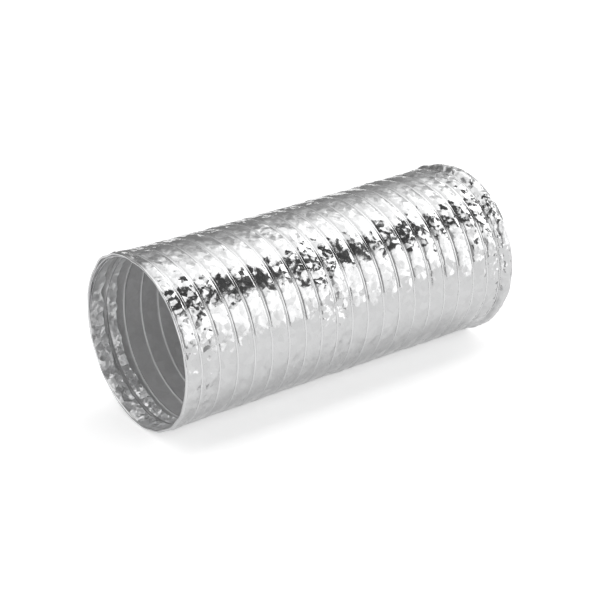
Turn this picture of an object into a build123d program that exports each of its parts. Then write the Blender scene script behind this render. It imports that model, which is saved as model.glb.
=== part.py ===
from build123d import *
import math
import os

# Flexible foil duct, 100 mm bore, lying on its side along X, all sizes in mm.
# A spring-steel wire helix sits between an outer and an inner foil ply; the ends are
# folded in as hems round the rim turns of the wire. Origin: under the middle of the
# duct, on the surface that it lies on.

# Driving dimensions
bore_diameter = 100.0      # inside the folded hems, goes over a 100 mm nominal spigot
ply_thickness = 0.15       # each foil ply
ply_clearance = 0.05       # between plies, hems and wire
hem_step = 0.60            # the folded hems stand this far in from the inner ply
wire_diameter = 0.9
pitch = 11.45              # wire turn to wire turn
bay_count = 21             # foil bays between the 22 turns of the wire
bulge = 0.60               # how far the outer ply puffs out between two turns
hem_length = 10.0          # foil folded in at each end
cut_gap = 0.10             # half the gap between neighbouring bays, and between turns
rim_turn_angle = 325.0     # the flat closing turn at each rim, degrees

# Radii, worked outwards from the bore
hem_radius = bore_diameter / 2
film_radius = hem_radius + hem_step
wire_inner_radius = film_radius + ply_thickness + ply_clearance
wire_radius = wire_inner_radius + wire_diameter / 2
foil_radius = wire_inner_radius + wire_diameter + ply_clearance
outer_radius = foil_radius + ply_thickness + bulge

# Places along X
rim_inset = ply_thickness + ply_clearance + wire_diameter / 2
length = bay_count * pitch + 2 * rim_inset
front_end = -length / 2
rear_end = length / 2
turn_x = [front_end + rim_inset + i * pitch for i in range(bay_count + 1)]
axis_height = outer_radius


def write(name, *solids):
    """Writes one node's solids, given about the X axis, at the duct's height."""
    placed = [Pos(0, 0, axis_height) * solid for solid in solids]
    node = placed[0] if len(placed) == 1 else Compound(children=placed)
    export_step(node, f"parts/{name}.step")


def turned(outline):
    """The solid of a closed outline in (x, radius), turned about X."""
    face = Plane.XZ * make_face(outline)
    return revolve(face, Axis.X, 360).solid()


def film_ply(start, end):
    """A straight ring of the inner ply."""
    top = film_radius + ply_thickness
    corners = [(start, film_radius), (end, film_radius), (end, top), (start, top)]
    return turned(Polyline(*corners, close=True))


def foil_ply(start, end):
    """A ring of the outer ply, which puffs out between two turns of the wire."""
    middle = (start + end) / 2
    top = foil_radius + ply_thickness
    outline = [
        ThreePointArc((start, foil_radius), (middle, foil_radius + bulge), (end, foil_radius)),
        Line((end, foil_radius), (end, top)),
        ThreePointArc((end, top), (middle, top + bulge), (start, top)),
        Line((start, top), (start, foil_radius)),
    ]
    return turned(outline)


def hem(end, inwards):
    """Foil rolled over the rim turn and folded back inside; inwards is +1 or -1 along X."""
    lip = end + inwards * ply_thickness
    edge = end + inwards * hem_length
    inside = hem_radius + ply_thickness
    rim = foil_radius + ply_thickness
    corners = [(end, hem_radius), (edge, hem_radius), (edge, inside), (lip, inside), (lip, rim), (end, rim)]
    return turned(Polyline(*corners, close=True))


def wire_frame(x):
    """The plane across the duct at x, where a turn's angle starts at +Y and grows towards +Z."""
    return Plane(origin=(x, 0, 0), x_dir=(0, 1, 0), z_dir=(1, 0, 0))


def wire_along(path):
    section = Plane(path @ 0, z_dir=path % 0) * Circle(wire_diameter / 2)
    return sweep(section, path=path, is_frenet=True).solid()


def wire_helix(x, start_angle, angle):
    """A right-handed stretch of the helix that starts at x and at start_angle, with its ends cut back."""
    cut_angle = math.degrees(cut_gap / wire_radius)
    rise = pitch * (angle - 2 * cut_angle) / 360
    path = Helix(pitch=pitch, height=rise, radius=wire_radius)
    stretch = Rot(0, 0, start_angle + cut_angle) * wire_along(path)
    return wire_frame(x + pitch * cut_angle / 360) * stretch


def wire_ring(x, start_angle, angle):
    """A flat stretch of wire across the duct."""
    path = CenterArc((0, 0, 0), wire_radius, start_angle, angle)
    return wire_frame(x) * wire_along(path)


os.makedirs("parts", exist_ok=True)

# The foil bays: two plies each. The end bays stop short of the lip of their hem.
for bay in range(1, bay_count + 1):
    start = turn_x[bay - 1] + cut_gap
    end = turn_x[bay] - cut_gap
    if bay == 1:
        start = front_end + ply_thickness + ply_clearance
    if bay == bay_count:
        end = rear_end - ply_thickness - ply_clearance
    write(f"foil_bay_{bay:02d}", foil_ply(start, end), film_ply(start, end))

# The wire: a flat turn at each rim, half a turn that leads into the helix, and one node
# for each full turn, from +Y round over the top, -Y and the bottom.
write(
    "wire_rim_front",
    wire_ring(turn_x[0], 180 - rim_turn_angle, rim_turn_angle),
    wire_helix(turn_x[0], 180, 180),
)
for turn in range(1, bay_count):
    write(f"wire_turn_{turn:02d}", wire_helix(turn_x[turn] - pitch / 2, 0, 360))
write(
    "wire_rim_rear",
    wire_helix(turn_x[-1] - pitch / 2, 0, 180),
    wire_ring(turn_x[-1], 180, rim_turn_angle),
)

write("front_hem", hem(front_end, 1))
write("rear_hem", hem(rear_end, -1))
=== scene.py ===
"""Looks of a short flexible foil duct: crinkled foil, inner film, wire and folded hems."""

import math

import bpy
import numpy as np
from bpy.props import FloatProperty, FloatVectorProperty, IntProperty, PointerProperty
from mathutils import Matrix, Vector


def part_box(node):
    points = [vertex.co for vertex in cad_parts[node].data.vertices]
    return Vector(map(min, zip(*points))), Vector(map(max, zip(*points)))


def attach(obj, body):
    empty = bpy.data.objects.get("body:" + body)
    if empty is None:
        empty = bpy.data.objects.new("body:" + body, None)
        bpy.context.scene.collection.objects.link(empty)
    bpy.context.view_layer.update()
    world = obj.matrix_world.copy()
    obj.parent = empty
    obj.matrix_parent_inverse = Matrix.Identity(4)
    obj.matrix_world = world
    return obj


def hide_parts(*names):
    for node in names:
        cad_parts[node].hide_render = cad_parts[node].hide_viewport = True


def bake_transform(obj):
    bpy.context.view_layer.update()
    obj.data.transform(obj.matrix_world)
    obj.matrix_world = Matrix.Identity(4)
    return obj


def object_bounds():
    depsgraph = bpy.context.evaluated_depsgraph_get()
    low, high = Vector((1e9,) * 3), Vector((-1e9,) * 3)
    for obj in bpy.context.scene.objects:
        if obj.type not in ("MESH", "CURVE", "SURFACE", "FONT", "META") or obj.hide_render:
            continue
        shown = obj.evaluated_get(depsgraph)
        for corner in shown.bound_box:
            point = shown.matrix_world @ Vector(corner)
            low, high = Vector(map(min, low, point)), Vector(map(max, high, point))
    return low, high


bl_info = {
    "name": "Flexible foil duct",
    "version": (1, 0, 0),
    "blender": (4, 5, 0),
    "location": "3D View > Sidebar > Duct",
    "description": "Builds the foil, film, wire and hems of a flexible duct round its CAD frame",
    "category": "Object",
}

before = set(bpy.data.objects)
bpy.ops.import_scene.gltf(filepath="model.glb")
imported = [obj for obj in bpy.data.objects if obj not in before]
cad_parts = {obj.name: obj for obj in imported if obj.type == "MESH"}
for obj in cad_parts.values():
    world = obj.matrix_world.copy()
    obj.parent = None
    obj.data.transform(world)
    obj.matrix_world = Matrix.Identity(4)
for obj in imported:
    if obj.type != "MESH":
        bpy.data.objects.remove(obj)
cad_low, cad_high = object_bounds()

MM = 0.001
BAY_COUNT = sum(name.startswith("foil_bay_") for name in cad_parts)


def middle_of(node):
    """The middle of a CAD node's box."""
    low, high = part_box(node)
    return (low + high) / 2


# The wire, as the frame holds it: turn centres, pitch and the height of the duct's axis
PITCH = middle_of("wire_turn_11").x - middle_of("wire_turn_10").x
FIRST_X = middle_of("wire_turn_10").x - 10 * PITCH
LAST_X = FIRST_X + BAY_COUNT * PITCH
AXIS_Z = middle_of("wire_turn_10").z
OUTER_RADIUS = cad_high.y
WIRE_OUTER_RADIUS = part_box("wire_turn_10")[1].y
GIRTH = 2 * math.pi * OUTER_RADIUS
# How far above the floor the foil stays
FLOOR_GAP = 0.02 * MM


# ---------------------------------------------------------------- settings


class DuctFoilSettings(bpy.types.PropertyGroup):
    """Shape and colour of the foil and of the film inside it."""

    columns: IntProperty(name="Columns", description="Faces round the duct", default=460, min=24)
    rows: IntProperty(name="Rows", description="Rows of faces in half a bay", default=16, min=3)
    film_columns: IntProperty(
        name="Film columns", description="Faces round the inner film", default=240, min=24
    )
    film_rows: IntProperty(
        name="Film rows", description="Rows of faces in half a bay of film", default=12, min=3
    )
    bulge: FloatProperty(
        name="Bulge",
        description="How far the foil puffs out between two turns of the wire",
        default=1.1 * MM,
        unit="LENGTH",
    )
    notch: FloatProperty(
        name="Notch",
        description="How deep the notch is that the wire lies in",
        default=0.42 * MM,
        unit="LENGTH",
    )
    bead: FloatProperty(
        name="Bead",
        description="How far the wire stands out under the foil",
        default=0.48 * MM,
        unit="LENGTH",
    )
    bead_width: FloatProperty(
        name="Bead width",
        description="Half width of the ridge over the wire",
        default=0.60 * MM,
        unit="LENGTH",
    )
    crinkle: FloatProperty(
        name="Crinkle",
        description="Depth of the fine creases where the foil is smoothest",
        default=0.20 * MM,
        unit="LENGTH",
    )
    crumple: FloatProperty(
        name="Crumple",
        description="Depth of the creases where the foil is crumpled",
        default=0.55 * MM,
        unit="LENGTH",
    )
    thickness: FloatProperty(
        name="Thickness", description="Thickness of each ply", default=0.10 * MM, unit="LENGTH"
    )
    foil_colour: FloatVectorProperty(
        name="Foil colour",
        description="Bright aluminium",
        subtype="COLOR",
        default=(0.61, 0.612, 0.615),
    )
    film_colour: FloatVectorProperty(
        name="Film colour",
        description="Dull inner film",
        subtype="COLOR",
        default=(0.62, 0.62, 0.625),
    )


class DuctWireSettings(bpy.types.PropertyGroup):
    """The spring-steel wire."""

    diameter: FloatProperty(
        name="Wire diameter", description="Diameter of the wire", default=0.9 * MM, unit="LENGTH"
    )
    sides: IntProperty(name="Sides", description="Faces round the wire", default=8, min=5)
    steps: IntProperty(name="Steps", description="Steps in a quarter turn", default=48, min=8)
    colour: FloatVectorProperty(
        name="Wire colour",
        description="Galvanised steel",
        subtype="COLOR",
        default=(0.55, 0.55, 0.56),
    )


class DuctHemSettings(bpy.types.PropertyGroup):
    """The foil that is folded back inside at each end."""

    depth: FloatProperty(
        name="Hem depth",
        description="How far the hem reaches inside",
        default=8.6 * MM,
        unit="LENGTH",
    )
    ragged: FloatProperty(
        name="Ragged edge",
        description="How unevenly the hem's edge is torn",
        default=1.6 * MM,
        unit="LENGTH",
    )
    crumple: FloatProperty(
        name="Hem crumple",
        description="Depth of the hem's creases",
        default=0.55 * MM,
        unit="LENGTH",
    )
    columns: IntProperty(name="Hem columns", description="Faces round a hem", default=520, min=24)
    rows: IntProperty(name="Hem rows", description="Rows of faces across a hem", default=18, min=4)


class DuctStageSettings(bpy.types.PropertyGroup):
    """Floor, light and camera."""

    azimuth: FloatProperty(
        name="Azimuth",
        description="Camera's direction round the duct",
        default=math.radians(-37.2),
        subtype="ANGLE",
    )
    elevation: FloatProperty(
        name="Elevation",
        description="Camera's height above the horizon",
        default=math.radians(24.3),
        subtype="ANGLE",
    )
    distance: FloatProperty(
        name="Distance", description="Camera to the duct's middle", default=1.055, unit="LENGTH"
    )
    lens: FloatProperty(name="Lens", description="Focal length in millimetres", default=105.3)
    floor_size: FloatProperty(
        name="Floor size", description="Side of the floor", default=12.0, unit="LENGTH"
    )


# ---------------------------------------------------------------- creases


def ripple(turn, along, seed, waves=6, longest=2.0, highest=8):
    """Smooth noise from -1 to 1 round the duct (turn, radians) and along it (in bays)."""
    draw = np.random.default_rng(seed)
    total = 0.0
    for _ in range(waves):
        around = draw.integers(1, highest + 1)
        rate = draw.uniform(-longest, longest)
        total = total + np.sin(around * turn + rate * along + draw.uniform(0, 2 * math.pi))
    return total / math.sqrt(waves)


# How many facets lie one behind another along the duct before their heights repeat, and how far
# their edges wander, in facets
FACETS_ALONG = 64
WANDER = 0.45


def facets(turn, along, width, length, seed, skew=0.0):
    """Flat facets with sharp creases, heights from -1 to 1. width is a facet's size round the duct
    and length its size along it, both in metres; skew slants the creases."""
    draw = np.random.default_rng(seed)
    around = max(3, round(GIRTH / width))
    slant = skew * along / length
    a = turn / (2 * math.pi) * around + slant + WANDER * ripple(turn, along / PITCH, seed + 1)
    b = along / length + WANDER * ripple(turn, along / PITCH, seed + 2) + FACETS_ALONG // 2
    i, j = np.floor(a).astype(int), np.floor(b).astype(int)
    fa, fb = a - i, b - j
    height = draw.uniform(-1, 1, (around, FACETS_ALONG))
    split = draw.random((around, FACETS_ALONG)) < 0.5
    i0, i1 = i % around, (i + 1) % around
    j0, j1 = j % FACETS_ALONG, (j + 1) % FACETS_ALONG
    h00, h10, h01, h11 = height[i0, j0], height[i1, j0], height[i0, j1], height[i1, j1]
    falling = np.where(
        fa + fb <= 1,
        h00 + fa * (h10 - h00) + fb * (h01 - h00),
        h11 + (1 - fa) * (h01 - h11) + (1 - fb) * (h10 - h11),
    )
    rising = np.where(
        fa >= fb,
        h00 + fa * (h10 - h00) + fb * (h11 - h10),
        h00 + fb * (h01 - h00) + fa * (h11 - h01),
    )
    return np.where(split[i0, j0], falling, rising)


def patch(turn, bay, at_bay, at_angle, bays, degrees):
    """1 at a place on the duct, falling smoothly to 0; bays and degrees are its half sizes."""
    away = np.angle(np.exp(1j * (turn - math.radians(at_angle))))
    far = ((bay - at_bay) / bays) ** 2 + (away / math.radians(degrees)) ** 2
    return np.exp(-far)


# Where the foil is most crumpled: bay, angle round the duct (90 is the top, 180 faces -Y),
# half size in bays, half size in degrees, strength
CRUMPLED = (
    (1.3, 150, 0.8, 45, 1.0),
    (0.7, 185, 0.7, 30, 0.7),
    (0.3, 95, 0.5, 14, 0.8),
    (8.6, 142, 1.1, 30, 1.0),
    (9.2, 165, 0.9, 28, 1.0),
    (7.4, 100, 0.6, 12, 0.9),
    (19.6, 130, 1.4, 60, 1.1),
    (20.6, 90, 0.7, 60, 1.0),
    (16.0, 135, 2.5, 26, 0.6),
    (12.0, 300, 2.0, 40, 0.6),
    (4.0, 20, 1.6, 35, 0.7),
    (17.5, 345, 2.0, 40, 0.8),
    (20.3, 230, 0.9, 60, 0.9),
    (0.8, 320, 0.8, 60, 0.8),
)


def crumpling(turn, bay):
    """How crumpled the foil is at each place, from 0 to about 1."""
    total = 0.0
    for at_bay, at_angle, bays, degrees, strength in CRUMPLED:
        total = total + strength * patch(turn, bay, at_bay, at_angle, bays, degrees)
    return np.clip(total, 0, 1.2)


def creases(turn, x, foil):
    """How far the creases push the foil out, in metres."""
    bay = (x - FIRST_X) / PITCH
    rough = crumpling(turn, bay)
    fine = facets(turn, x, 4.2 * MM, 5.0 * MM, 11, 0.6)
    finer = facets(turn, x, 2.4 * MM, 3.4 * MM, 23, -0.5)
    broad = facets(turn, x, 9 * MM, 7.5 * MM, 37, 0.3)
    long = facets(turn, x, 26 * MM, 2.9 * MM, 41, 0.25)
    towards_rear = np.clip((bay - 9) / 11, 0, 1)
    smooth = foil.crinkle * (0.7 * fine + 0.3 * finer + 0.9 * broad)
    crushed = foil.crumple * rough * (0.55 * fine + 0.35 * finer + 0.6 * broad)
    streaks = 0.30 * foil.crumple * (0.15 + 0.85 * towards_rear) * long
    crimped = facets(turn, x, 3.4 * MM, 16 * MM, 53, 0.2)
    at_rims = np.exp(-((bay / 0.55) ** 2)) + np.exp(-(((BAY_COUNT - bay) / 0.7) ** 2))
    crimps = 0.42 * MM * at_rims * crimped
    return smooth + crushed + streaks + crimps


# ---------------------------------------------------------------- the duct's skin

# How unevenly the wire is wound: a slow drift, and the places where turns bunch up, at the deep
# groove before the rear cuff too (turn of the wire, width in turns, shift in pitches)
DRIFT = 0.017
BUNCHED = ((6.5, 2.0, 0.07), (11.0, 1.5, -0.06), (20.0, 0.7, -0.17), (1.0, 1.2, -0.06))
# How far the turns tip over, in pitches, against a plain helix
TIP = 0.085
# How far the first turns are drawn forwards on the +Y side, in pitches
DRAWN = 0.38
# How far a row of faces leans with the helix, in pitches
LEAN = 0.14
# How far behind the last turn of the wire the groove of the rear cuff lies
GROOVE_AT = 1.5 * MM
# How many samples the rows of half a bay are spaced by, and how close the helper rows are to its
# ends
ROW_SAMPLES = 97
HELPER_STEP = 0.06 * MM


def smooth_step(value, low, high):
    """0 up to low, 1 from high on, and a smooth rise between them."""
    share = np.clip((value - low) / (high - low), 0, 1)
    return share * share * (3 - 2 * share)


def uneven(turns):
    """How far the winding strays along X at so many turns from the front rim, in pitches."""
    total = -0.08 + DRIFT * turns
    for at, width, shift in BUNCHED:
        total = total + shift * np.exp(-(((turns - at) / width) ** 2))
    return total * smooth_step(turns, 0, 1.2) * smooth_step(BAY_COUNT - turns, 0, 0.9)


def wound_x(turns, turn):
    """X at so many turns from the front rim and an angle round the duct."""
    held = smooth_step(turns, 0, 1) * smooth_step(BAY_COUNT - turns, 0, 1)
    drawn = DRAWN * smooth_step(turns, 0, 0.5) * (1 - smooth_step(turns, 4, 9))
    tip = TIP * held * np.sin(turn) - drawn * (1 + np.cos(turn)) / 2
    return FIRST_X + PITCH * (turns + uneven(turns) + tip)


def turns_at(x, turn):
    """The other way round from wound_x."""
    turns = (x - FIRST_X) / PITCH
    for _ in range(10):
        turns = turns - (wound_x(turns, turn) - x) / PITCH
    return turns


def wire_x(number, turn):
    """X of a turn of the wire at an angle; the rims are turns 0 and BAY_COUNT."""
    turns = np.clip(number + turn / (2 * math.pi) - 0.5, 0, BAY_COUNT)
    return wound_x(turns, turn)


def plane_x(u):
    """X, on the duct's axis, of the row that is u turns from the front rim."""
    return FIRST_X + PITCH * (u + uneven(u))


def row_x(u, turn):
    """X of that row. Rows lean with the helix on the -Y side and stand straight at the rims."""
    lean = np.minimum(1.0, np.minimum(u, BAY_COUNT - u))
    return plane_x(u) - lean * LEAN * PITCH * np.sin(turn)


def rows_between(low, high, rows, turn):
    """X of the rows from low to high, closest together over the wire and in the groove of the rear
    cuff, with two helper rows at each end: one just outside it and one just inside."""
    start, end = row_x(low, turn), row_x(high, turn)
    share = np.linspace(0, 1, ROW_SAMPLES)[:, None]
    fine = start + (end - start) * share
    dense = np.full(fine.shape, 1.0)
    for number in range(round(low) - 1, round(high) + 2):
        if 0 <= number <= BAY_COUNT:
            wire = wire_x(number, turn)
            dense = dense + 3.5 * np.exp(-(((fine - wire) / (0.85 * MM)) ** 2))
            if number == BAY_COUNT - 1:
                dense = dense + 3 * np.exp(-(((fine - wire - 1.8 * MM) / (1.4 * MM)) ** 2))
    total = np.cumsum((dense[1:] + dense[:-1]) / 2, axis=0)
    total = np.concatenate([np.zeros((1, total.shape[1])), total / total[-1]])
    wanted = np.linspace(0, 1, rows + 1)
    x = np.stack([np.interp(wanted, total[:, c], fine[:, c]) for c in range(fine.shape[1])], 1)
    x[0], x[-1] = start[0], end[0]
    first, last = x[:1], x[-1:]
    step = HELPER_STEP
    return np.concatenate([first - step, first + step, x, last - step, last + step])


def bay_profile(x, turn):
    """Across each bay: how far along it a point is (0 to 1), how wide the bay is there, and how far
    the nearest wire is."""
    turns = turns_at(x, turn)
    wound = turn / (2 * math.pi) - 0.5
    number = np.floor(turns - wound + 1e-6)
    low, high = wire_x(number, turn), wire_x(number + 1, turn)
    wide = np.maximum(high - low, 1e-6)
    share = np.clip((x - low) / wide, 0, 1)
    near = np.minimum(np.abs(x - low), np.abs(high - x))
    return share, wide, near


def out_of_round(x, turn):
    """How the duct's section departs from a circle: slightly, and more at its mouths."""
    bay = (x - FIRST_X) / PITCH
    front, rear = np.exp(-bay / 2.5), np.exp(-(BAY_COUNT - bay) / 2.0)
    oval = 0.30 * np.sin(2 * turn + 0.6) + 0.25 * np.sin(3 * turn + 1.9)
    swollen = 2.0 * front * patch(turn, bay, bay, 52, 1, 30)
    wavy = 0.30 * (front**3 + rear**3) * ripple(turn, bay, 17, waves=9, highest=26)
    slack = 0.12 * ripple(turn, bay, 5, longest=0.4)
    return MM * (slack + (front + 0.7 * rear) * oval + swollen + wavy)


def bead_height(near, half_width):
    """A round ridge with a sharp foot, from 1 over the wire to 0 beside it."""
    return np.cos(np.minimum(near / half_width, 1) * math.pi / 2)


def puffed(share, wide, near, x, turn, foil):
    """How far the foil stands out between the wires: a step up out of the notch, and a bulge that
    grows towards the rear."""
    bay = (x - FIRST_X) / PITCH
    slack = 0.30 + 0.95 * smooth_step(bay, 9, 16)
    loose = 1 + 0.16 * ripple(turn, bay, 7)
    step = foil.notch * smooth_step(near, 0.40 * MM, 1.45 * MM)
    rise = (foil.bulge - foil.notch) * slack * np.minimum(1, wide / PITCH)
    return loose * (step + rise * (1 - np.abs(2 * share - 1) ** 2.6))


def cuff_shape(x, turn):
    """The rear cuff: a groove behind the last turn of the wire, a swollen band, a rounded rim."""
    past_wire = x - wire_x(BAY_COUNT - 1, turn)
    groove = np.exp(-(((past_wire - GROOVE_AT) / (0.8 * MM)) ** 2))
    band = smooth_step(past_wire, 1.8 * MM, 4.0 * MM)
    rounded = smooth_step(x, LAST_X - 3.5 * MM, LAST_X + 1.0 * MM)
    return MM * (1.1 * band - 0.9 * groove - 1.6 * rounded)


def skin_radius(x, turn, foil):
    """Radius of the foil's outside."""
    share, wide, near = bay_profile(x, turn)
    valley = OUTER_RADIUS - foil.bulge
    bead = foil.bead * bead_height(near, foil.bead_width)
    held = 0.12 + 0.88 * smooth_step(near, 0.3 * MM, 1.8 * MM)
    puff = puffed(share, wide, near, x, turn, foil)
    creased = held * creases(turn, x, foil)
    return valley + puff + bead + creased + out_of_round(x, turn) + cuff_shape(x, turn)


def film_radius(x, turn, foil):
    """Radius of the film's inside: it is flatter than the foil, and is pushed in over the wire."""
    share, wide, near = bay_profile(x, turn)
    valley = OUTER_RADIUS - foil.bulge - 0.50 * MM
    bead = -0.42 * MM * bead_height(near, 0.62 * MM)
    held = smooth_step(near, 0.3 * MM, 2.2 * MM)
    puff = 0.35 * puffed(share, wide, near, x, turn, foil)
    hollow = 0.45 * MM * np.exp(-(((x - FIRST_X - 10 * MM) / (1.6 * MM)) ** 2))
    past_wire = x - wire_x(BAY_COUNT - 1, turn)
    hollow = hollow - 0.6 * MM * np.exp(-(((past_wire - GROOVE_AT) / (1.0 * MM)) ** 2))
    creased = 0.35 * held * creases(turn, x, foil)
    return valley + puff + hollow + bead + creased + out_of_round(x, turn)


def points(x, radius, turn):
    """Points of a surface round the duct's axis, none below the floor."""
    x, radius, turn = np.broadcast_arrays(x, radius, turn)
    z = AXIS_Z + radius * np.sin(turn)
    return np.stack([x, radius * np.cos(turn), np.maximum(z, FLOOR_GAP)], -1)


def outward(round_it, along):
    """The unit normal between a direction round the duct and one along it."""
    normal = np.cross(round_it, along)
    return normal / (np.linalg.norm(normal, axis=-1, keepdims=True) + 1e-12)


def grid_normals(grid):
    """Outward normals of a grid of points, rows along X and columns round it."""
    return outward(np.roll(grid, -1, 1) - np.roll(grid, 1, 1), np.gradient(grid, axis=0))


def angles(columns):
    """The angles of the columns round the duct."""
    return np.arange(columns)[None, :] * 2 * math.pi / columns


def stretch_of_skin(low, high, rows, columns, radius_at, foil):
    """Points and normals of the rows from low to high. The end rows' normals are worked out from
    rows close on either side, so that they are the same for both neighbours."""
    turn = angles(columns)
    x = rows_between(low, high, rows, turn)
    radius = radius_at(x, turn, foil)
    grid = points(x, radius, np.broadcast_to(turn, x.shape))
    before, after, grid, near_end, past_end = grid[0], grid[1], grid[2:-2], grid[-2], grid[-1]
    normals = grid_normals(grid)
    for row, (one, other) in ((0, (before, after)), (-1, (near_end, past_end))):
        round_it = np.roll(grid[row], -1, 0) - np.roll(grid[row], 1, 0)
        normals[row] = outward(round_it, other - one)
    return grid, normals


# ---------------------------------------------------------------- mesh work


def deselect():
    """Leaves edit mode and selects nothing."""
    if bpy.context.object and bpy.context.object.mode != "OBJECT":
        bpy.ops.object.mode_set(mode="OBJECT")
    bpy.ops.object.select_all(action="DESELECT")


def sleeve(name, columns, rows):
    """A plain open cylinder along X, one metre long, with its rows and columns."""
    deselect()
    bpy.ops.mesh.primitive_cylinder_add(
        vertices=columns, radius=1, depth=1, end_fill_type="NOTHING", rotation=(0, math.pi / 2, 0)
    )
    piece = bpy.context.object
    piece.name = name
    bpy.ops.object.transform_apply(location=True, rotation=True, scale=True)
    bpy.ops.object.mode_set(mode="EDIT")
    bpy.ops.mesh.select_mode(type="EDGE")
    bpy.ops.mesh.select_all(action="DESELECT")
    bpy.ops.object.mode_set(mode="OBJECT")
    for edge in piece.data.edges:
        one, other = (piece.data.vertices[v].co.x for v in edge.vertices)
        edge.select = abs(one - other) > 0.5
    bpy.ops.object.mode_set(mode="EDIT")
    bpy.ops.mesh.subdivide(number_cuts=rows - 1)
    bpy.ops.mesh.select_all(action="SELECT")
    bpy.ops.mesh.normals_make_consistent(inside=False)
    bpy.ops.object.mode_set(mode="OBJECT")
    return piece


def copy_of(plain, name):
    """A copy of a plain sleeve, with its own mesh."""
    deselect()
    plain.select_set(True)
    bpy.context.view_layer.objects.active = plain
    bpy.ops.object.duplicate(linked=False)
    piece = bpy.context.object
    piece.name = name
    return piece


def places_of(mesh):
    """The places of a mesh's vertices, one row for each."""
    at = np.zeros(len(mesh.vertices) * 3, np.float32)
    mesh.vertices.foreach_get("co", at)
    return at.reshape(-1, 3)


def shape(piece, grid, normals, rows, columns, thickness):
    """Moves a sleeve's vertices onto a grid of points, gives the sheet its thickness towards the
    duct's axis, or away from it if negative, and shades it with the grid's own normals so that
    neighbours join unseen."""
    mesh = piece.data
    at = places_of(mesh)
    row = np.rint((at[:, 0] + 0.5) * rows).astype(int)
    turn = np.arctan2(at[:, 2], at[:, 1]) / (2 * math.pi)
    column = np.rint(turn * columns).astype(int) % columns
    outside = normals[row, column]
    sheet = grid[row, column]
    mesh.vertices.foreach_set("co", sheet.astype(np.float32).ravel())
    mesh.update()
    deselect()
    piece.select_set(True)
    bpy.context.view_layer.objects.active = piece
    solid = piece.modifiers.new("thickness", "SOLIDIFY")
    solid.thickness = abs(thickness)
    solid.offset = -1 if thickness > 0 else 1
    bpy.ops.object.modifier_apply(modifier=solid.name)
    bpy.ops.object.shade_smooth()
    mesh = piece.data
    mesh.normals_split_custom_set_from_vertices(np.concatenate([outside, -outside]).tolist())
    return piece


def store_crumple(mesh, amount):
    """Keeps an amount of crumpling for each vertex, which the material reads."""
    mark = mesh.attributes.new("crumple", "FLOAT", "POINT")
    mark.data.foreach_set("value", amount.astype(np.float32))


# How strongly the material's small facets show on smooth foil, and how much more where it is
# crumpled
SMOOTH_FACETS = 0.50
CRUMPLED_FACETS = 0.60


def mark_crumples(piece):
    """Stores how crumpled the foil is at each vertex, and not at all over the wire, where the
    material then paints a highlight along the ridges.
    """
    at = places_of(piece.data)
    turn = np.arctan2(at[:, 2] - AXIS_Z, at[:, 1]) % (2 * math.pi)
    _, _, near = bay_profile(at[:, 0], turn)
    crumpled = crumpling(turn, (at[:, 0] - FIRST_X) / PITCH)
    rough = SMOOTH_FACETS + CRUMPLED_FACETS * crumpled
    rough = rough * smooth_step(near, 0.4 * MM, 1.4 * MM)
    store_crumple(piece.data, rough)


# ---------------------------------------------------------------- materials


def add_node(nodes, kind, **settings):
    """A node with its properties and unlinked inputs set."""
    node = nodes.new(kind)
    for name, value in settings.items():
        if hasattr(node, name):
            setattr(node, name, value)
        else:
            node.inputs[name].default_value = value
    return node


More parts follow.
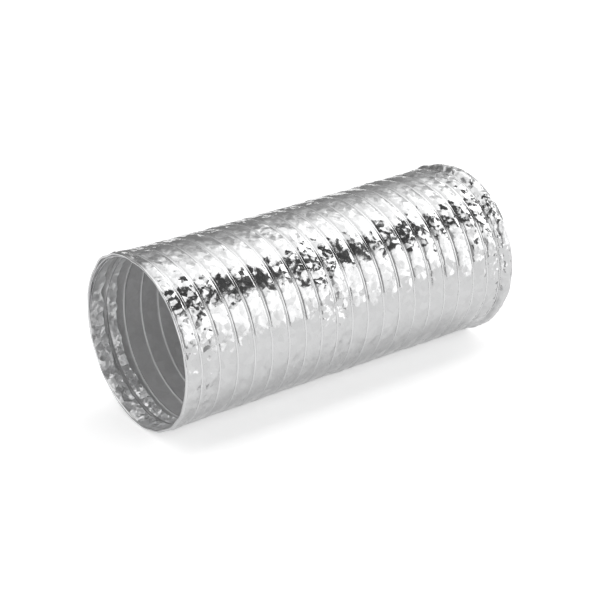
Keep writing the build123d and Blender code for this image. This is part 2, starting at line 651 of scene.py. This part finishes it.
def shards_group():
    """A node group: creased facets on Object coordinates, as tilted normals and a value each; the
    value, which also tips each facet along X, is what the materials paint facets lighter and darker
    by, as painted shade.
    """
    name = "creased_shards"
    if name in bpy.data.node_groups:
        return bpy.data.node_groups[name]
    group = bpy.data.node_groups.new(name, "ShaderNodeTree")
    for label, value in (("Scale", 400), ("Tilt", 0.1), ("Fine tilt", 0.05), ("Amount", 1.0)):
        socket = group.interface.new_socket(label, in_out="INPUT", socket_type="NodeSocketFloat")
        socket.default_value = value
    group.interface.new_socket("Normal", in_out="OUTPUT", socket_type="NodeSocketVector")
    group.interface.new_socket("Facet", in_out="OUTPUT", socket_type="NodeSocketFloat")
    nodes, links = group.nodes, group.links
    given, out = nodes.new("NodeGroupInput"), nodes.new("NodeGroupOutput")
    place = nodes.new("ShaderNodeTexCoord")
    faces = nodes.new("ShaderNodeNewGeometry")
    warp = add_node(nodes, "ShaderNodeTexNoise", Scale=110, Detail=1)
    warped = add_node(nodes, "ShaderNodeVectorMath", operation="MULTIPLY_ADD")
    warped.inputs[1].default_value = (0.004, 0.004, 0.004)
    links.new(place.outputs["Object"], warp.inputs["Vector"])
    links.new(warp.outputs["Color"], warped.inputs[0])
    links.new(place.outputs["Object"], warped.inputs[2])
    tilted = faces.outputs["Normal"]
    facet = None
    for times, tilt in ((1.0, "Tilt"), (2.1, "Fine tilt")):
        size = add_node(nodes, "ShaderNodeMath", operation="MULTIPLY")
        size.inputs[1].default_value = times
        cells = nodes.new("ShaderNodeTexVoronoi")
        centred = add_node(nodes, "ShaderNodeVectorMath", operation="SUBTRACT")
        centred.inputs[1].default_value = (0.5, 0.5, 0.5)
        much = add_node(nodes, "ShaderNodeMath", operation="MULTIPLY")
        scaled = add_node(nodes, "ShaderNodeVectorMath", operation="SCALE")
        added = add_node(nodes, "ShaderNodeVectorMath", operation="ADD")
        links.new(given.outputs["Scale"], size.inputs[0])
        links.new(warped.outputs["Vector"], cells.inputs["Vector"])
        links.new(size.outputs[0], cells.inputs["Scale"])
        links.new(cells.outputs["Color"], centred.inputs[0])
        links.new(given.outputs[tilt], much.inputs[0])
        links.new(given.outputs["Amount"], much.inputs[1])
        links.new(centred.outputs["Vector"], scaled.inputs[0])
        links.new(much.outputs[0], scaled.inputs["Scale"])
        links.new(tilted, added.inputs[0])
        links.new(scaled.outputs["Vector"], added.inputs[1])
        tilted = added.outputs["Vector"]
        facet = facet or cells.outputs["Color"]
    unit = add_node(nodes, "ShaderNodeVectorMath", operation="NORMALIZE")
    grey = nodes.new("ShaderNodeSeparateColor")
    links.new(tilted, unit.inputs[0])
    links.new(unit.outputs["Vector"], out.inputs["Normal"])
    links.new(facet, grey.inputs["Color"])
    links.new(grey.outputs["Red"], out.inputs["Facet"])
    return group


def rolled_grain_group():
    """A node group: the faint grain that rolling leaves in foil, as a height and a mask."""
    name = "rolled_grain"
    if name in bpy.data.node_groups:
        return bpy.data.node_groups[name]
    group = bpy.data.node_groups.new(name, "ShaderNodeTree")
    socket = group.interface.new_socket("Scale", in_out="INPUT", socket_type="NodeSocketFloat")
    socket.default_value = 500
    group.interface.new_socket("Height", in_out="OUTPUT", socket_type="NodeSocketFloat")
    group.interface.new_socket("Mask", in_out="OUTPUT", socket_type="NodeSocketFloat")
    nodes, links = group.nodes, group.links
    given, out = nodes.new("NodeGroupInput"), nodes.new("NodeGroupOutput")
    place = nodes.new("ShaderNodeTexCoord")
    grain = add_node(nodes, "ShaderNodeTexNoise", Detail=4)
    cloud = add_node(nodes, "ShaderNodeTexNoise", Scale=55, Detail=3)
    links.new(place.outputs["Object"], grain.inputs["Vector"])
    links.new(place.outputs["Object"], cloud.inputs["Vector"])
    links.new(given.outputs["Scale"], grain.inputs["Scale"])
    links.new(grain.outputs["Fac"], out.inputs["Height"])
    links.new(cloud.outputs["Fac"], out.inputs["Mask"])
    return group


def sheet_material(name, colour, dark, metallic, roughness, spread, shards, grain, marked):
    """A foil, film or wire finish. shards is a facet's scale, tilt and fine tilt, grain the bump's
    scale and depth; where marked, the facets are strongest in the crumpled places. Each facet's
    colour lies between dark and colour by its value: painted shade of the creases on the foil, film
    and hem, the spangle's own tone on the wire. Where marked, the colour just over the wire is a
    tenth lighter: a painted highlight along the ridges."""
    if name in bpy.data.materials:
        return bpy.data.materials[name]
    material = bpy.data.materials.new(name)
    material.use_nodes = True
    nodes, links = material.node_tree.nodes, material.node_tree.links
    shader = nodes["Principled BSDF"]
    shader.inputs["Metallic"].default_value = metallic
    creased = add_node(nodes, "ShaderNodeGroup", node_tree=shards_group())
    for label, value in zip(("Scale", "Tilt", "Fine tilt"), shards):
        creased.inputs[label].default_value = value
    if marked:
        mark = add_node(nodes, "ShaderNodeAttribute", attribute_name="crumple")
        links.new(mark.outputs["Fac"], creased.inputs["Amount"])
    rolled = add_node(nodes, "ShaderNodeGroup", node_tree=rolled_grain_group())
    rolled.inputs["Scale"].default_value = grain[0]
    bump = add_node(nodes, "ShaderNodeBump", Strength=1.0, Distance=grain[1])
    # Painted shade: facets are mixed from dark to colour by their value, so those tipped one way
    # along X are lighter; on the wire this is the spangle's own tone
    tint = add_node(nodes, "ShaderNodeMix", data_type="RGBA")
    tint.inputs[6].default_value = (*dark, 1)
    tint.inputs[7].default_value = (*colour, 1)
    worn = nodes.new("ShaderNodeMapRange")
    for label, value in (("From Min", 0.3), ("From Max", 0.7)):
        worn.inputs[label].default_value = value
    worn.inputs["To Min"].default_value = roughness - spread
    worn.inputs["To Max"].default_value = roughness + spread
    links.new(creased.outputs["Normal"], bump.inputs["Normal"])
    links.new(rolled.outputs["Height"], bump.inputs["Height"])
    links.new(bump.outputs["Normal"], shader.inputs["Normal"])
    links.new(creased.outputs["Facet"], tint.inputs[0])
    if marked:
        # Painted highlight: where the crumple mark falls to nothing, just over the wire, the colour
        # is blended to one a tenth lighter, on foil and film alike
        off_ridge = nodes.new("ShaderNodeMapRange")
        off_ridge.inputs["From Max"].default_value = 0.2
        ridge_highlight = add_node(nodes, "ShaderNodeMix", data_type="RGBA")
        ridge_highlight.inputs[6].default_value = (*darker(colour, 1.1), 1)
        links.new(mark.outputs["Fac"], off_ridge.inputs["Value"])
        links.new(off_ridge.outputs["Result"], ridge_highlight.inputs[0])
        links.new(tint.outputs[2], ridge_highlight.inputs[7])
        links.new(ridge_highlight.outputs[2], shader.inputs["Base Color"])
    else:
        links.new(tint.outputs[2], shader.inputs["Base Color"])
    links.new(rolled.outputs["Mask"], worn.inputs["Value"])
    links.new(worn.outputs["Result"], shader.inputs["Roughness"])
    return material


def darker(colour, share):
    """A colour times a share, which is above 1 for a lighter one."""
    return tuple(c * share for c in colour)


def foil_material():
    """Bright aluminium foil, creased into small facets."""
    colour = bpy.context.scene.duct_foil.foil_colour
    shards, grain = (270, 0.34, 0.14), (900, 0.02 * MM)
    # The shade that the foil's facets are painted down to
    dark = darker(colour, 0.92)
    return sheet_material("bright_foil", colour, dark, 1.0, 0.12, 0.03, shards, grain, True)


def film_material():
    """Dull grey film that lines the duct."""
    colour = bpy.context.scene.duct_foil.film_colour
    shards, grain = (260, 0.22, 0.12), (500, 0.03 * MM)
    # The shade that the film's facets are painted down to
    dark = darker(colour, 0.88)
    return sheet_material("inner_film", colour, dark, 0.3, 0.45, 0.05, shards, grain, True)


def hem_material():
    """Foil crushed where it is folded in, so that it is duller."""
    colour = darker(bpy.context.scene.duct_foil.foil_colour, 1.4)
    shards, grain = (240, 0.45, 0.25), (700, 0.04 * MM)
    # The shade that the hem's facets are painted down to
    dark = darker(colour, 0.85)
    return sheet_material("crushed_hem_foil", colour, dark, 0.72, 0.34, 0.06, shards, grain, True)


def wire_material():
    """Galvanised wire: dull grey with a faint spangle."""
    colour = bpy.context.scene.duct_wire.colour
    shards, grain = (900, 0.05, 0.03), (1500, 0.01 * MM)
    dark = darker(colour, 0.8)
    return sheet_material("galvanised_wire", colour, dark, 1.0, 0.36, 0.06, shards, grain, False)


# ---------------------------------------------------------------- bodies


def turn_body(turn):
    """The body that holds a turn of the wire."""
    if turn <= 1:
        return "front_cuff"
    if turn >= BAY_COUNT - 1:
        return "rear_cuff"
    return f"turn_{turn:02d}"


def bay_body(bay):
    """The body that holds a foil bay."""
    if bay <= 1:
        return "front_cuff"
    if bay >= BAY_COUNT:
        return "rear_cuff"
    return f"bay_{bay:02d}"


# Bays whose second half was listed to be led from its rear body to its front one; follow treats
# them as it does every other bay, and bends none.
REAR_LED = (2, 3, 6, 7, 15, 20)


def follow(piece, bay, second_half):
    """Attaches half a bay, or what lies in it, to its body where the turn beside it and the bay
    share one, as at the stiff end bays; elsewhere it only bakes the piece's transform into its
    mesh, and nothing bends."""
    one = bay_body(bay) if second_half else turn_body(bay - 1)
    other = turn_body(bay) if second_half else bay_body(bay)
    if one == other:
        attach(piece, one)
        return
    if second_half and bay in REAR_LED:
        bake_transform(piece)
    else:
        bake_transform(piece)


def half_bay_of(turns, turn):
    """The bay, and which half of it, that the wire lies in at so many turns from the front rim."""
    x = wound_x(np.float64(turns), turn)
    for half in range(2 * BAY_COUNT):
        if x < row_x((half + 1) / 2, turn):
            break
    return half // 2 + 1, half % 2 == 1


# ---------------------------------------------------------------- operators


# The foil's lip, rolled round the rim's wire
LIP_ROWS = 8
LIP_RADIUS = 0.75 * MM


def rolled_rim(edge, x_rim, sign):
    """Rows that carry the foil on round the rim's wire and a little way inside; sign is -1 at the
    front."""
    from_axis = edge - np.array([0, 0, AXIS_Z])
    reach = np.hypot(from_axis[:, 1], from_axis[:, 2])
    rolled = []
    for step in range(1, LIP_ROWS + 1):
        swing = math.pi * step / LIP_ROWS
        share = (reach - LIP_RADIUS * (1 - math.cos(swing))) / reach
        x = np.full_like(reach, x_rim + sign * LIP_RADIUS * math.sin(swing))
        rolled.append(np.stack([x, from_axis[:, 1] * share, AXIS_Z + from_axis[:, 2] * share], -1))
    return np.stack(rolled)


def finish_half(piece, bay, half, material):
    """Marks half a bay's crumpling, gives it its material, attaches it to its body where it lies
    within one, and hides the CAD node that it stands for.
    """
    mark_crumples(piece)
    piece.data.materials.append(material)
    follow(piece, bay, half == 1)
    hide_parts(f"foil_bay_{bay:02d}")


class DUCT_OT_add_foil(bpy.types.Operator):
    """Add the outer foil, two halves to each bay"""

    bl_idname = "duct.add_foil"
    bl_label = "Add foil"

    def execute(self, context):
        foil = context.scene.duct_foil
        plain = sleeve("plain_foil", foil.columns, foil.rows)
        for bay in range(1, BAY_COUNT + 1):
            for half in (0, 1):
                low = bay - 1 + half / 2
                rows, columns = foil.rows, foil.columns
                name = f"foil_{bay:02d}_{'ab'[half]}"
                grid, normals = stretch_of_skin(low, low + 0.5, rows, columns, skin_radius, foil)
                if (bay, half) == (1, 0):
                    grid = np.concatenate([rolled_rim(grid[0], FIRST_X, -1)[::-1], grid])
                    rows, shared, normals = rows + LIP_ROWS, normals[-1], grid_normals(grid)
                    normals[-1] = shared
                    piece = sleeve(name, columns, rows)
                elif (bay, half) == (BAY_COUNT, 1):
                    grid = np.concatenate([grid, rolled_rim(grid[-1], LAST_X, 1)])
                    rows, shared, normals = rows + LIP_ROWS, normals[0], grid_normals(grid)
                    normals[0] = shared
                    piece = sleeve(name, columns, rows)
                else:
                    piece = copy_of(plain, name)
                shape(piece, grid, normals, rows, columns, foil.thickness)
                finish_half(piece, bay, half, foil_material())
        bpy.data.objects.remove(plain)
        return {"FINISHED"}


class DUCT_OT_add_film(bpy.types.Operator):
    """Add the inner film, two halves to each bay"""

    bl_idname = "duct.add_film"
    bl_label = "Add film"

    def execute(self, context):
        foil = context.scene.duct_foil
        rows, columns = foil.film_rows, foil.film_columns
        plain = sleeve("plain_film", columns, rows)
        for bay in range(1, BAY_COUNT + 1):
            for half in (0, 1):
                low = bay - 1 + half / 2
                grid, normals = stretch_of_skin(low, low + 0.5, rows, columns, film_radius, foil)
                piece = copy_of(plain, f"film_{bay:02d}_{'ab'[half]}")
                shape(piece, grid, normals, rows, columns, -foil.thickness)
                finish_half(piece, bay, half, film_material())
        bpy.data.objects.remove(plain)
        return {"FINISHED"}


# How far round the flat closing turn at each rim goes
RIM_TURN = math.radians(325)


def wound_wire(name, x, start, angle, rise, wire):
    """A stretch of wire wound about the duct's axis from an angle, rising along X as it turns and
    strayed as unevenly as the duct is wound."""
    deselect()
    radius = WIRE_OUTER_RADIUS - wire.diameter / 2
    bpy.ops.mesh.primitive_circle_add(
        vertices=wire.sides,
        radius=wire.diameter / 2,
        fill_type="NOTHING",
        location=(0, radius * math.cos(start), radius * math.sin(start)),
        rotation=(start, 0, 0),
    )
    piece = bpy.context.object
    piece.name = name
    bpy.ops.object.transform_apply(location=True, rotation=True, scale=True)
    wind = piece.modifiers.new("wind", "SCREW")
    wind.axis = "X"
    wind.angle = angle
    wind.screw_offset = rise
    wind.steps = wind.render_steps = max(8, round(wire.steps * angle / (math.pi / 2)))
    wind.use_merge_vertices = False
    bpy.ops.object.modifier_apply(modifier=wind.name)
    bpy.ops.object.mode_set(mode="EDIT")
    bpy.ops.mesh.select_mode(type="EDGE")
    bpy.ops.mesh.select_all(action="DESELECT")
    bpy.ops.mesh.select_non_manifold()
    bpy.ops.mesh.fill_holes(sides=wire.sides)
    bpy.ops.mesh.select_all(action="SELECT")
    bpy.ops.mesh.normals_make_consistent(inside=False)
    bpy.ops.object.mode_set(mode="OBJECT")
    piece.location = (x, 0, AXIS_Z)
    bpy.ops.object.transform_apply(location=True, rotation=True, scale=True)
    if rise:
        for vertex in piece.data.vertices:
            turns = np.clip((vertex.co.x - FIRST_X) / PITCH, 0, BAY_COUNT)
            turn = math.atan2(vertex.co.z - AXIS_Z, vertex.co.y)
            vertex.co.x += wound_x(turns, turn) - FIRST_X - PITCH * turns
    bpy.ops.object.shade_smooth()
    piece.data.materials.append(wire_material())
    return piece


class DUCT_OT_add_wire(bpy.types.Operator):
    """Add the wire: a flat turn at each rim and the turns of the helix between them"""

    bl_idname = "duct.add_wire"
    bl_label = "Add wire"

    def execute(self, context):
        wire = context.scene.duct_wire
        quarter = math.pi / 2
        for turn in range(1, BAY_COUNT):
            for part in range(4):
                start = turn - 0.5 + part / 4
                name = f"wire_{turn:02d}_{'abcd'[part]}"
                x = FIRST_X + PITCH * start
                piece = wound_wire(name, x, part * quarter, quarter, PITCH / 4, wire)
                bay, second_half = half_bay_of(start + 1 / 8, (part + 0.5) * quarter)
                follow(piece, bay, second_half)
                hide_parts(f"wire_turn_{turn:02d}")
        half = math.pi
        front = wound_wire("wire_rim_front_turn", FIRST_X, half - RIM_TURN, RIM_TURN, 0, wire)
        lead = wound_wire("wire_rim_front_lead", FIRST_X, half, half, PITCH / 2, wire)
        rear = wound_wire("wire_rim_rear_turn", LAST_X, half, RIM_TURN, 0, wire)
        tail = wound_wire("wire_rim_rear_lead", LAST_X - PITCH / 2, 0, half, PITCH / 2, wire)
        for piece, body, node in (
            (front, "front_cuff", "wire_rim_front"),
            (lead, "front_cuff", "wire_rim_front"),
            (rear, "rear_cuff", "wire_rim_rear"),
            (tail, "rear_cuff", "wire_rim_rear"),
        ):
            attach(piece, body)
            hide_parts(node)
        return {"FINISHED"}


def torn(turn, seed):
    """An uneven torn edge, from -1 to 1 round the duct."""
    along = 0 * turn
    tears = facets(turn, along, 9 * MM, 5 * MM, seed)
    nicks = facets(turn, along, 3 * MM, 5 * MM, seed + 3)
    return 0.6 * tears + 0.4 * nicks


# Where the hems are crushed most, as an angle round the duct
CRUSHED_AT = 305
HEM_THICKNESS = 0.09 * MM


def hem_band(name, start, depth, inwards, radius, seed, hem):
    """A crumpled band of foil inside a mouth, with a torn edge that stands off the film; inwards is
    +1 at the front. It is crushed most low down, near where the duct rests on the floor."""
    turn = angles(hem.columns)
    share = np.linspace(0, 1, hem.rows + 1)[:, None]
    reach = depth + hem.ragged * torn(turn, seed)
    x = start + inwards * reach * share
    rough = np.minimum(1, share * 4)
    crushed = 0.35 + 0.65 * patch(turn, 0, 0, CRUSHED_AT, 1, 55)
    pleats = facets(turn, x, 5.0 * MM, 9 * MM, seed + 10, 0.2)
    small = facets(turn, x, 2.2 * MM, 3 * MM, seed + 20, -0.4)
    creased = hem.crumple * rough * crushed * (1 + pleats + 0.45 * small)
    out = out_of_round(np.full_like(turn, start), turn)
    grid = points(x, radius + out - creased - 1.0 * MM * share**2, turn)
    if inwards < 0:
        grid = grid[::-1]
    normals = grid_normals(grid)
    piece = sleeve(name, hem.columns, hem.rows)
    shape(piece, grid, normals, hem.rows, hem.columns, HEM_THICKNESS)
    at = places_of(piece.data)
    place = np.arctan2(at[:, 2] - AXIS_Z, at[:, 1])
    store_crumple(piece.data, 0.35 + 1.65 * patch(place, 0, 0, CRUSHED_AT, 1, 50))
    piece.data.materials.append(hem_material())
    return piece


class DUCT_OT_add_hems(bpy.types.Operator):
    """Add the hem folded inside each mouth, and the loose foil tucked behind the front one"""

    bl_idname = "duct.add_hems"
    bl_label = "Add hems"

    def execute(self, context):
        hem = context.scene.duct_hem
        inner = WIRE_OUTER_RADIUS - context.scene.duct_wire.diameter - 0.25 * MM
        front = hem_band("front_hem_fold", FIRST_X - 0.3 * MM, hem.depth, 1, inner, 101, hem)
        tuck_x, tuck_radius = FIRST_X + PITCH + 0.4 * MM, inner - 0.1 * MM
        tuck = hem_band("front_hem_tuck", tuck_x, 0.6 * hem.depth, 1, tuck_radius, 151, hem)
        rear = hem_band("rear_hem_fold", LAST_X + 0.3 * MM, hem.depth, -1, inner, 131, hem)
        for piece, body, node in (
            (front, "front_cuff", "front_hem"),
            (tuck, "front_cuff", "front_hem"),
            (rear, "rear_cuff", "rear_hem"),
        ):
            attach(piece, body)
            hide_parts(node)
        return {"FINISHED"}


# How brightly the floor glows as it lights the duct, and as the camera sees it
FLOOR_GLOW = (0.22, 0.42)


def floor_material():
    """A white light table, with a very faint unevenness."""
    material = bpy.data.materials.new("light_table")
    material.use_nodes = True
    nodes, links = material.node_tree.nodes, material.node_tree.links
    shader = nodes["Principled BSDF"]
    shader.inputs["Roughness"].default_value = 0.9
    shader.inputs["Emission Color"].default_value = (1, 1, 1, 1)
    ray = nodes.new("ShaderNodeLightPath")
    glow = nodes.new("ShaderNodeMapRange")
    glow.inputs["To Min"].default_value, glow.inputs["To Max"].default_value = FLOOR_GLOW
    links.new(ray.outputs["Is Camera Ray"], glow.inputs["Value"])
    links.new(glow.outputs["Result"], shader.inputs["Emission Strength"])
    place = nodes.new("ShaderNodeTexCoord")
    cloud = add_node(nodes, "ShaderNodeTexNoise", Scale=3)
    tint = add_node(nodes, "ShaderNodeMix", data_type="RGBA")
    tint.inputs[6].default_value = (0.90, 0.90, 0.90, 1)
    tint.inputs[7].default_value = (0.93, 0.93, 0.93, 1)
    links.new(place.outputs["Object"], cloud.inputs["Vector"])
    links.new(cloud.outputs["Fac"], tint.inputs[0])
    links.new(tint.outputs[2], shader.inputs["Base Color"])
    return material


# The light all round, by angle about the X axis (0 faces -Y, 90 is straight up): a soft box
# overhead, one low in front, and the dim room between and behind them
OVERHEAD = (
    (-180, 0.42),
    (-90, 0.60),
    (-20, 0.15),
    (54, 0.16),
    (66, 0.08),
    (74, 0.18),
    (81, 2.1),
    (110, 2.0),
    (122, 1.5),
    (131, 1.0),
    (150, 0.52),
    (168, 0.36),
    (180, 0.36),
)
IN_FRONT = ((-180, 0.0), (-20, 0.0), (-12, 1.35), (20, 1.75), (46, 1.9), (55, 0.0), (180, 0.0))
# How bright the box overhead is along X
OVER_ALONG = ((-1.0, 1.0), (-0.2, 0.75), (0.3, 0.9), (0.5, 1.0), (0.75, 1.7), (1.0, 1.9))
# How bright the front box is along X
ALONG = (
    (-1.0, 1.3),
    (-0.8, 1.0),
    (-0.62, 0.25),
    (-0.05, 0.25),
    (0.2, 0.8),
    (0.5, 1.0),
    (0.8, 1.3),
    (1.0, 1.3),
)


def light_ramp(nodes, stops, low, high):
    """A colour ramp for stops of place and brightness; returns it and the brightest of them."""
    brightest = max(value for _, value in stops)
    ramp = nodes.new("ShaderNodeValToRGB")
    elements = ramp.color_ramp.elements
    elements.remove(elements[-1])
    for place, _ in stops[1:]:
        elements.new((place - low) / (high - low))
    elements[0].position = (stops[0][0] - low) / (high - low)
    for element, (_, value) in zip(elements, stops):
        share = value / brightest
        element.color = (share, share, share, 1)
    return ramp, brightest


def world_light():
    """Soft boxes and dark gaps as rings of light about the duct's axis. The camera sees plain
    white."""
    world = bpy.data.worlds.new("studio")
    bpy.context.scene.world = world
    world.use_nodes = True
    nodes, links = world.node_tree.nodes, world.node_tree.links
    nodes.clear()
    place = nodes.new("ShaderNodeTexCoord")
    parts = nodes.new("ShaderNodeSeparateXYZ")
    flip = add_node(nodes, "ShaderNodeMath", operation="MULTIPLY")
    flip.inputs[1].default_value = -1
    turn = add_node(nodes, "ShaderNodeMath", operation="ARCTAN2")
    round_it = nodes.new("ShaderNodeMapRange")
    round_it.inputs["From Min"].default_value = -math.pi
    round_it.inputs["From Max"].default_value = math.pi
    along_it = nodes.new("ShaderNodeMapRange")
    along_it.inputs["From Min"].default_value = -1
    overhead, overhead_light = light_ramp(nodes, OVERHEAD, -180, 180)
    in_front, front_light = light_ramp(nodes, IN_FRONT, -180, 180)
    along, along_light = light_ramp(nodes, ALONG, -1, 1)
    over_along, over_light = light_ramp(nodes, OVER_ALONG, -1, 1)
    above = add_node(nodes, "ShaderNodeMath", operation="MULTIPLY")
    box = add_node(nodes, "ShaderNodeMath", operation="MULTIPLY")
    lit = add_node(nodes, "ShaderNodeMath", operation="MULTIPLY")
    lit.inputs[1].default_value = front_light * along_light
    both = add_node(nodes, "ShaderNodeMath", operation="MULTIPLY_ADD")
    both.inputs[1].default_value = overhead_light * over_light
    sky = nodes.new("ShaderNodeBackground")
    plain = nodes.new("ShaderNodeBackground")
    plain.inputs["Color"].default_value = (1, 1, 1, 1)
    choose = nodes.new("ShaderNodeMixShader")
    ray = nodes.new("ShaderNodeLightPath")
    out = nodes.new("ShaderNodeOutputWorld")
    for one, other in (
        (place.outputs["Generated"], parts.inputs[0]),
        (parts.outputs["Y"], flip.inputs[0]),
        (parts.outputs["Z"], turn.inputs[0]),
        (flip.outputs[0], turn.inputs[1]),
        (turn.outputs[0], round_it.inputs["Value"]),
        (parts.outputs["X"], along_it.inputs["Value"]),
        (round_it.outputs["Result"], overhead.inputs["Fac"]),
        (round_it.outputs["Result"], in_front.inputs["Fac"]),
        (along_it.outputs["Result"], along.inputs["Fac"]),
        (in_front.outputs["Color"], box.inputs[0]),
        (along.outputs["Color"], box.inputs[1]),
        (box.outputs[0], lit.inputs[0]),
        (along_it.outputs["Result"], over_along.inputs["Fac"]),
        (overhead.outputs["Color"], above.inputs[0]),
        (over_along.outputs["Color"], above.inputs[1]),
        (above.outputs[0], both.inputs[0]),
        (lit.outputs[0], both.inputs[2]),
        (both.outputs[0], sky.inputs["Strength"]),
        (ray.outputs["Is Camera Ray"], choose.inputs["Fac"]),
        (sky.outputs[0], choose.inputs[1]),
        (plain.outputs[0], choose.inputs[2]),
        (choose.outputs[0], out.inputs["Surface"]),
    ):
        links.new(one, other)


# How far the view is shifted sideways and upwards, as shares of its width, and how far it reaches
VIEW_SHIFT = (-0.0104, -0.0147)
VIEW_REACH = 50.0


class DUCT_OT_set_stage(bpy.types.Operator):
    """Set the floor, the light and the camera"""

    bl_idname = "duct.set_stage"
    bl_label = "Set stage"

    def execute(self, context):
        stage = context.scene.duct_stage
        deselect()
        bpy.ops.mesh.primitive_plane_add(size=stage.floor_size, location=(0, 0, 0))
        floor = context.object
        floor.name = "floor"
        floor.data.materials.append(floor_material())
        world_light()
        middle = (cad_low + cad_high) / 2
        cos_e, sin_e = math.cos(stage.elevation), math.sin(stage.elevation)
        back = Vector((math.sin(stage.azimuth) * cos_e, -math.cos(stage.azimuth) * cos_e, sin_e))
        bpy.ops.object.camera_add(location=middle + back * stage.distance)
        camera = context.object
        camera.rotation_mode = "QUATERNION"
        camera.rotation_quaternion = (-back).to_track_quat("-Z", "Y")
        camera.data.lens = stage.lens
        camera.data.shift_x, camera.data.shift_y = VIEW_SHIFT
        camera.data.clip_end = VIEW_REACH
        context.scene.camera = camera
        context.scene.view_settings.view_transform = "Standard"
        context.scene.view_settings.look = "None"
        return {"FINISHED"}


class DUCT_PT_panel(bpy.types.Panel):
    """Lists the steps that build the duct"""

    bl_label = "Flexible foil duct"
    bl_idname = "DUCT_PT_panel"
    bl_space_type = "VIEW_3D"
    bl_region_type = "UI"
    bl_category = "Duct"

    def draw(self, context):
        for step in STEPS:
            self.layout.operator(step.bl_idname)


STEPS = (DUCT_OT_set_stage, DUCT_OT_add_foil, DUCT_OT_add_film, DUCT_OT_add_wire, DUCT_OT_add_hems)
SETTINGS = {
    "duct_foil": DuctFoilSettings,
    "duct_wire": DuctWireSettings,
    "duct_hem": DuctHemSettings,
    "duct_stage": DuctStageSettings,
}


def register():
    for name, group in SETTINGS.items():
        bpy.utils.register_class(group)
        setattr(bpy.types.Scene, name, PointerProperty(type=group))
    for step in (*STEPS, DUCT_PT_panel):
        bpy.utils.register_class(step)


def unregister():
    for step in reversed((*STEPS, DUCT_PT_panel)):
        bpy.utils.unregister_class(step)
    for name, group in SETTINGS.items():
        delattr(bpy.types.Scene, name)
        bpy.utils.unregister_class(group)


def main():
    register()
    bpy.ops.duct.set_stage()
    bpy.ops.duct.add_foil()
    bpy.ops.duct.add_film()
    bpy.ops.duct.add_wire()
    bpy.ops.duct.add_hems()


if __name__ == "__main__":
    main()
